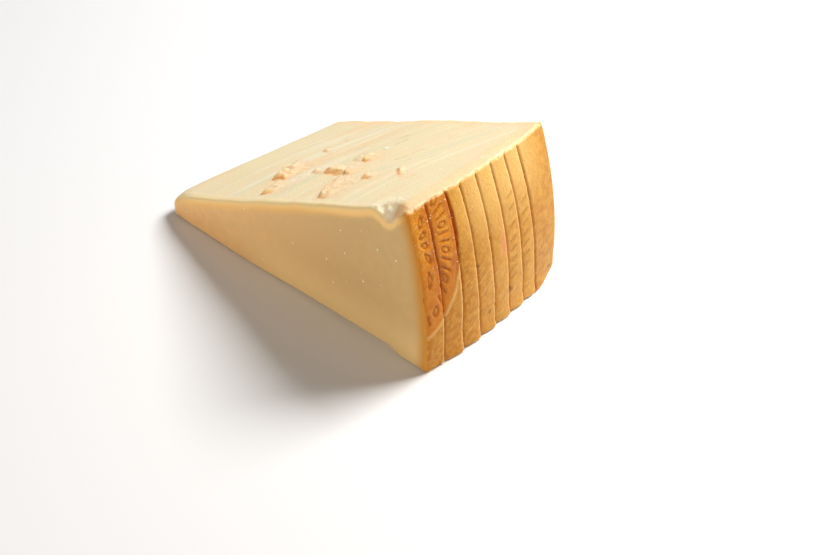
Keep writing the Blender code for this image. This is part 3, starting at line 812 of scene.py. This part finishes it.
def makeGrain():
    # height of the fine surface grain: even grains and small pits
    inputs = (("Place", "Vector", None), ("Grain Size", "Float", 1.0), ("Pits", "Float", 0.3))
    tree, given, result = newGroup("fineGrain", inputs, ("Height",))
    scale = calc(tree, "DIVIDE", 1.0, given["Grain Size"])
    even = noisy(tree, given["Place"], scale, detail=4.0, roughness=0.6)
    inputs = {"Vector": given["Place"], "Scale": calc(tree, "MULTIPLY", scale, 0.45)}
    pits = addNode(tree, "ShaderNodeTexVoronoi", inputs)
    sunk = faded(tree, pits.outputs["Distance"], 0.32, 0.1)
    height = calc(tree, "SUBTRACT", even, product(tree, sunk, given["Pits"]))
    tree.links.new(height, result["Height"])
    return tree


def grouped(tree, group, **inputs):
    node = addNode(tree, "ShaderNodeGroup", node_tree=group)
    for title, value in inputs.items():
        socket = node.inputs[title]
        if isinstance(value, bpy.types.NodeSocket):
            tree.links.new(value, socket)
        else:
            socket.default_value = value
    return node.outputs


def newMaterial(name):
    material = bpy.data.materials.new(name)
    material.use_nodes = True
    tree = material.node_tree
    return material, tree, tree.nodes["Principled BSDF"].inputs


def inMillimetres(tree, shift):
    # place in the shape's own frame, in millimetres
    coords = addNode(tree, "ShaderNodeTexCoord").outputs["Object"]
    return placed(tree, coords, location=[-value / mm for value in shift], scale=(1 / mm, 1 / mm, 1 / mm))


def setSurface(tree, shader, color, roughness, height, look):
    tree.links.new(color, shader["Base Color"])
    tree.links.new(roughness, shader["Roughness"])
    inputs = {"Height": height, "Strength": 1.0, "Distance": look["bumpDistance"]}
    bump = addNode(tree, "ShaderNodeBump", inputs)
    tree.links.new(bump.outputs[0], shader["Normal"])
    shader["Specular IOR Level"].default_value = look["specular"]
    shader["Subsurface Weight"].default_value = look["scatterWeight"]
    shader["Subsurface Radius"].default_value = look["scatter"]
    shader["Subsurface Scale"].default_value = look["scatterDepth"]


def agedPaste(shift, mottle, specks, grain):
    material, tree, shader = newMaterial("agedPaste")
    place = inMillimetres(tree, shift)
    axes = addNode(tree, "ShaderNodeSeparateXYZ", {0: place}).outputs
    belowTop = marked(tree, "belowTop")
    underRind = marked(tree, "underRind")

    # split faces: cream with cool and pink streaks that follow the split
    inputs = {0: marked(tree, "lean"), 1: axes["Y"], 2: 0.0}
    streaks = addNode(tree, "ShaderNodeCombineXYZ", inputs).outputs[0]
    cool = noisy(tree, placed(tree, streaks, scale=(0.085, 0.008, 1)), 1.0, detail=3.0, distortion=0.2)
    pink = noisy(tree, placed(tree, streaks, location=(7, 3, 4), scale=(0.065, 0.009, 1)), 1.0, detail=3.5)
    hair = noisy(tree, placed(tree, streaks, location=(0, 0, 9), scale=(0.4, 0.018, 1)), 1.0, detail=2.0)
    coolShare = product(tree, faded(tree, cool, 0.5, 0.66), paste["streakStrength"])
    pinkShare = product(tree, faded(tree, pink, 0.5, 0.68), paste["pinkStrength"])
    split = mixed(tree, coolShare, paste["cream"], paste["coolStreak"])
    split = mixed(tree, pinkShare, split, paste["pinkStreak"])
    pale = noisy(tree, placed(tree, streaks, location=(2, 8, 6), scale=(0.12, 0.011, 1)), 1.0, detail=3.0)
    split = mixed(tree, product(tree, faded(tree, pale, 0.52, 0.68), 0.8), split, paste["paleStreak"])
    split = mixed(tree, product(tree, faded(tree, hair, 0.5, 0.66), 0.15), split, paste["coolStreak"])
    # painted light: the split face warmed and lightened right at its front edge
    split = mixed(tree, product(tree, faded(tree, axes["Y"], 5.5, 1.8), 0.85), split, paste["edgeWarmLit"])

    # broken places: halo, foot and wall of the flakes, creases, crumbs of the chipped corner; the foot, wall and
    # creases carry painted shade, the crests a painted glow
    patches = grouped(tree, mottle, **{"Place": place, "Patch Size": 6.0, "Contrast": 0.12})
    uneven = calc(tree, "ADD", 0.6, product(tree, patches["Fine"], 0.4))
    haloShare = product(tree, marked(tree, "halo"), uneven)
    split = mixed(tree, haloShare, split, paste["broken"])
    # painted shade on the flakes' foot facets, turning to a painted golden glow toward the crest
    foot = mixed(tree, marked(tree, "crest"), paste["flakeFootShade"], paste["flakeCrestGlow"])
    split = mixed(tree, faded(tree, marked(tree, "foot"), 0.0, 0.8), split, foot)
    # painted shade on the flakes' walls
    split = mixed(tree, product(tree, marked(tree, "wall"), 0.7), split, paste["flakeWallShade"])
    # painted shade in the hairline creases
    split = mixed(tree, product(tree, marked(tree, "crease"), 0.6), split, paste["crease"])
    # the pale bump: white crumbs with a painted highlight, in the crystals' colour
    split = mixed(tree, marked(tree, "pale"), split, paste["crystal"])
    # crumbs of the chip, in painted shade on its far wall
    shaded = faded(tree, axes["X"], chip["x"] - 0.5, chip["x"] + 2.5)
    crumbs = mixed(tree, shaded, paste["crumb"], paste["shadedCrumb"])
    split = mixed(tree, product(tree, marked(tree, "crumbled"), 0.85), split, crumbs)

    # towards the rind: a pale line, then an orange band, and the plate's thin skin
    band = product(tree, faded(tree, underRind, 14.0, 7.0), faded(tree, underRind, 0.8, 3.0), 0.65)
    split = mixed(tree, band, split, paste["rindBand"])
    toPlate = marked(tree, "toPlate")
    split = mixed(tree, product(tree, faded(tree, toPlate, 9.0, 0.5), 0.6), split, paste["rindBand"])
    split = mixed(tree, product(tree, faded(tree, toPlate, 1.4, 0.6), 0.8), split, paste["skin"])

    # the smooth cut: tan, partly its own satin tone and partly painted shade; pinker to the tip, darker under the
    # rind
    # painted shade: darker towards the rind
    tone = faded(tree, axes["X"], 40.0, 190.0)
    smooth = mixed(tree, tone, paste["smoothToTip"], paste["smoothToRindShaded"])
    smooth = mixed(tree, product(tree, patches["Broad"], 0.35), smooth, paste["smoothCut"])
    # painted light: lighter low down on the smooth cut
    low = product(tree, faded(tree, axes["Z"], 32.0, 6.0), faded(tree, axes["X"], 60.0, 110.0))
    smooth = mixed(tree, product(tree, low, 0.7), smooth, paste["smoothLowLit"])
    # painted light: a golden glow under the top edge, as light shining through the paste, and a wider cream-to-golden
    # band
    edge = faded(tree, belowTop, paste["underEdgeGlowReach"], 2.0)
    edge = product(tree, edge, faded(tree, axes["X"], 192.0, 160.0), 0.75)
    smooth = mixed(tree, edge, smooth, paste["underEdgeGlow"])
    wider = product(tree, faded(tree, axes["X"], 110.0, 185.0), paste["edgeGlowWider"])
    glow = faded(tree, calc(tree, "SUBTRACT", belowTop, wider), paste["edgeGlowReach"], 1.0)
    golden = mixed(tree, faded(tree, belowTop, 0.6, 3.0), paste["edgeGlowCream"], paste["edgeGlow"])
    smooth = mixed(tree, product(tree, glow, 0.85), smooth, golden)
    under = faded(tree, underRind, paste["underRindReach"], 0.5)
    smooth = mixed(tree, product(tree, under, under), smooth, paste["underRind"])

    onFront = product(tree, faded(tree, axes["Y"], 2.4, 0.8), faded(tree, belowTop, -0.5, 0.25))
    color = mixed(tree, onFront, split, smooth)
    level = calc(tree, "ADD", axes["Y"], axes["Z"])
    flat = addNode(tree, "ShaderNodeCombineXYZ", {0: axes["X"], 1: level, 2: 0.0}).outputs[0]
    crystals = grouped(tree, specks, Place=flat, Pitch=13.0, Radius=0.6, Share=0.3)["Mask"]
    color = mixed(tree, product(tree, crystals, paste["crystalStrength"]), color, paste["crystal"])

    roughness = calc(tree, "ADD", paste["splitRoughness"],
                     product(tree, onFront, paste["smoothRoughness"] - paste["splitRoughness"]))
    fine = grouped(tree, grain, **{"Place": place, "Grain Size": 0.9, "Pits": 0.25})["Height"]
    height = product(tree, fine, calc(tree, "SUBTRACT", 1.0, product(tree, onFront, 0.82)))
    fibre = product(tree, hair, calc(tree, "SUBTRACT", 1.0, onFront), 0.3)
    height = calc(tree, "ADD", height, fibre)
    setSurface(tree, shader, color, roughness, height, paste)
    return material


def scoredRind(shift, mottle, specks, grain):
    material, tree, shader = newMaterial("scoredRind")
    look = rindLook
    place = inMillimetres(tree, shift)
    axes = addNode(tree, "ShaderNodeSeparateXYZ", {0: place}).outputs
    patches = grouped(tree, mottle, **{"Place": place, "Patch Size": 16.0, "Contrast": 0.16})
    flat = addNode(tree, "ShaderNodeCombineXYZ", {0: axes["Y"], 1: axes["Z"], 2: 0.0}).outputs[0]
    # painted light: the base tone lighter towards the far strips
    color = mixed(tree, faded(tree, axes["Y"], 15.0, 66.0), look["base"], look["farBaseLit"])
    color = mixed(tree, product(tree, faded(tree, axes["Y"], 79.0, 86.0), 0.8), color, look["plateSide"])
    color = mixed(tree, product(tree, patches["Broad"], 0.45), color, look["toasted"])
    color = mixed(tree, product(tree, patches["Fine"], 0.4), color, look["pale"])
    small = grouped(tree, mottle, **{"Place": place, "Patch Size": 4.0, "Contrast": 0.1})
    color = mixed(tree, product(tree, small["Broad"], 0.3), color, look["toasted"])
    # painted light: the upper rind lighter, and brighter orange high on the near strips
    upper = product(tree, faded(tree, axes["Z"], 50.0, 85.0), faded(tree, axes["Y"], 22.0, 48.0))
    upper = product(tree, upper, faded(tree, axes["Y"], 100.0, 78.0))
    color = mixed(tree, product(tree, upper, 0.75), color, look["upper"])
    nearUpperLit = product(tree, faded(tree, axes["Z"], 55.0, 82.0), faded(tree, axes["Y"], 42.0, 30.0))
    color = mixed(tree, product(tree, nearUpperLit, 0.35), color, look["nearUpperLit"])

    # strips: a pale far edge, partly worn rind and partly a painted highlight on the proud edge; the score line dark
    # with painted shade
    strip = marked(tree, "strip")
    score = marked(tree, "score")
    middle = product(tree, faded(tree, strip, 0.05, 0.4), faded(tree, strip, 1.0, 0.6), patches["Broad"])
    color = mixed(tree, product(tree, middle, faded(tree, axes["Y"], 22.0, 45.0), 0.25), color, look["pale"])
    farEdgeWornLit = product(tree, faded(tree, strip, 0.8, 0.97), faded(tree, score, 4.0, 0.8), 0.7)
    color = mixed(tree, farEdgeWornLit, color, look["farEdgeWornLit"])
    broken = calc(tree, "ADD", 0.35, product(tree, patches["Fine"], 0.65))
    color = mixed(tree, product(tree, faded(tree, score, 0.55, 0.1), broken), color, look["scoreShade"])

    # pale hatch scratches, rising to the plate
    turned = placed(tree, place, turn=(-38, 0, 0))
    hatch = noisy(tree, placed(tree, turned, scale=(0.02, 0.045, 1.1)), 1.0, detail=3.0)
    hatchShare = product(tree, faded(tree, hatch, 0.6, 0.74), faded(tree, axes["Z"], 75.0, 35.0), 0.45)
    color = mixed(tree, hatchShare, color, look["scratch"])

    color = mixed(tree, product(tree, marked(tree, "dash"), 0.55), color, look["dash"])
    color = mixed(tree, product(tree, marked(tree, "stain"), 0.5), color, look["stain"])
    color = mixed(tree, product(tree, marked(tree, "spot"), 0.75), color, look["spot"])
    rim = product(tree, faded(tree, axes["Y"], 93.0, 101.0), faded(tree, axes["Z"], 60.0, 25.0), 0.6)
    color = mixed(tree, rim, color, look["rim"])
    fromRind = marked(tree, "underRind")
    onPlate = product(tree, faded(tree, marked(tree, "toPlate"), 0.8, 0.1), faded(tree, fromRind, 1.0, 6.0))
    plate = mixed(tree, product(tree, patches["Broad"], 0.6), look["plate"], look["plateDark"])
    plate = mixed(tree, product(tree, small["Fine"], 0.3), plate, look["platePale"])
    color = mixed(tree, onPlate, color, plate)

    # the pressed oval, toasted darkest along its ring and its first score
    field = product(tree, faded(tree, marked(tree, "ovalGap"), -0.8, 1.2),
                    calc(tree, "ADD", 0.5, product(tree, patches["Fine"], 0.4)))
    color = mixed(tree, field, color, look["field"])
    inOval = faded(tree, marked(tree, "ovalGap"), 0.0, 2.0)
    color = mixed(tree, product(tree, small["Broad"], inOval, 0.55), color, look["fieldPale"])
    color = mixed(tree, product(tree, small["Fine"], inOval, 0.55), color, look["fieldDark"])
    lower = product(tree, inOval, faded(tree, axes["Z"], 72.0, 50.0), 0.55)
    color = mixed(tree, lower, color, look["fieldDark"])
    toast = product(tree, marked(tree, "toast"), calc(tree, "ADD", 0.42, product(tree, small["Broad"], 0.42)))
    color = mixed(tree, toast, color, look["darkToast"])
    color = mixed(tree, product(tree, marked(tree, "groove"), 0.85), color, look["groove"])
    color = mixed(tree, product(tree, marked(tree, "lip"), 0.6), color, look["lip"])
    # painted highlights: wet glints in the toasted band
    glints = grouped(tree, specks, Place=flat, Pitch=2.6, Radius=0.34, Share=0.3)["Mask"]
    color = mixed(tree, product(tree, glints, marked(tree, "toast"), 0.9), color, look["glint"])

    uneven = calc(tree, "ADD", 0.4, product(tree, small["Broad"], 0.5))
    topRim = product(tree, faded(tree, marked(tree, "belowTop"), 2.4, 0.6), uneven)
    color = mixed(tree, topRim, color, look["topRim"])

    pores = grouped(tree, specks, Place=flat, Pitch=4.6, Radius=0.4, Share=0.35)["Mask"]
    color = mixed(tree, product(tree, pores, 0.35), color, look["toasted"])
    roughness = calc(tree, "ADD", look["roughness"],
                     product(tree, field, look["fieldRoughness"] - look["roughness"]))
    fine = grouped(tree, grain, **{"Place": place, "Grain Size": 1.3, "Pits": 0.5})["Height"]
    height = calc(tree, "ADD", fine, product(tree, hatch, 0.6))
    setSurface(tree, shader, color, roughness, height, look)
    return material


def plainMaterial(name, color, roughness):
    material, tree, shader = newMaterial(name)
    shader["Base Color"].default_value = (*color, 1)
    shader["Roughness"].default_value = roughness
    return material


studio = {
    "floorColor": (0.91, 0.92, 0.94),
    "look": (153.62, 49.42, 0.0),
    "azimuth": 48.81, "elevation": 38.13, "roll": -3.91, "distance": 1063.9, "lens": 88.53,
}


def makeFloor():
    bm = bmesh.new()
    bmesh.ops.create_grid(bm, x_segments=1, y_segments=1, size=3.0)
    mesh = bpy.data.meshes.new("studioFloor")
    bm.to_mesh(mesh)
    bm.free()
    mesh.materials.append(plainMaterial("paleFloor", studio["floorColor"], 0.6))
    floor = bpy.data.objects.new("studioFloor", mesh)
    bpy.context.scene.collection.objects.link(floor)


def aimAt(obj, target):
    obj.rotation_euler = (Vector(target) - obj.location).to_track_quat("-Z", "Y").to_euler()


def areaLight(name, place, target, size, power, color):
    data = bpy.data.lights.new(name, "AREA")
    data.shape = "RECTANGLE"
    data.size, data.size_y = size
    data.energy = power
    data.color = color
    light = bpy.data.objects.new(name, data)
    light.location = place
    aimAt(light, target)
    bpy.context.scene.collection.objects.link(light)


def makeLights():
    areaLight("backSoftbox", (0.33, 0.82, 1.08), (0, 0, 0.05), (0.6, 0.6), 26.0, (1.0, 0.98, 0.95))
    areaLight("frontFill", (-0.1, -1.3, 0.24), (0, 0, 0.03), (1.0, 0.6), 6.4, (1.0, 0.78, 0.55))
    world = bpy.data.worlds.new("paleStudio")
    world.use_nodes = True
    world.node_tree.nodes["Background"].inputs["Color"].default_value = (1.0, 1.0, 1.0, 1)
    world.node_tree.nodes["Background"].inputs["Strength"].default_value = 0.2
    bpy.context.scene.world = world


def makeCamera(shift):
    data = bpy.data.cameras.new("photoCamera")
    data.lens = studio["lens"]
    data.sensor_width = 36.0
    camera = bpy.data.objects.new("photoCamera", data)
    target = Vector(studio["look"]) * mm + shift
    azimuth, elevation = math.radians(studio["azimuth"]), math.radians(studio["elevation"])
    away = Vector((math.cos(elevation) * math.sin(azimuth), -math.cos(elevation) * math.cos(azimuth), math.sin(elevation)))
    camera.location = target + away * studio["distance"] * mm
    aimAt(camera, target)
    camera.rotation_euler.rotate_axis("Z", math.radians(studio["roll"]))
    bpy.context.scene.collection.objects.link(camera)
    bpy.context.scene.camera = camera


wedge, shift = makeWedgeObject()
effects = (makeMottle(), makeSpecks(), makeGrain())
wedge.data.materials.append(agedPaste(shift, *effects))
wedge.data.materials.append(scoredRind(shift, *effects))
print("materials are made")
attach(wedge, "root")
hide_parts("cheese_wedge")
makeFloor()
makeLights()
makeCamera(shift)
bpy.context.scene.view_settings.view_transform = "Standard"
print("studio is set")
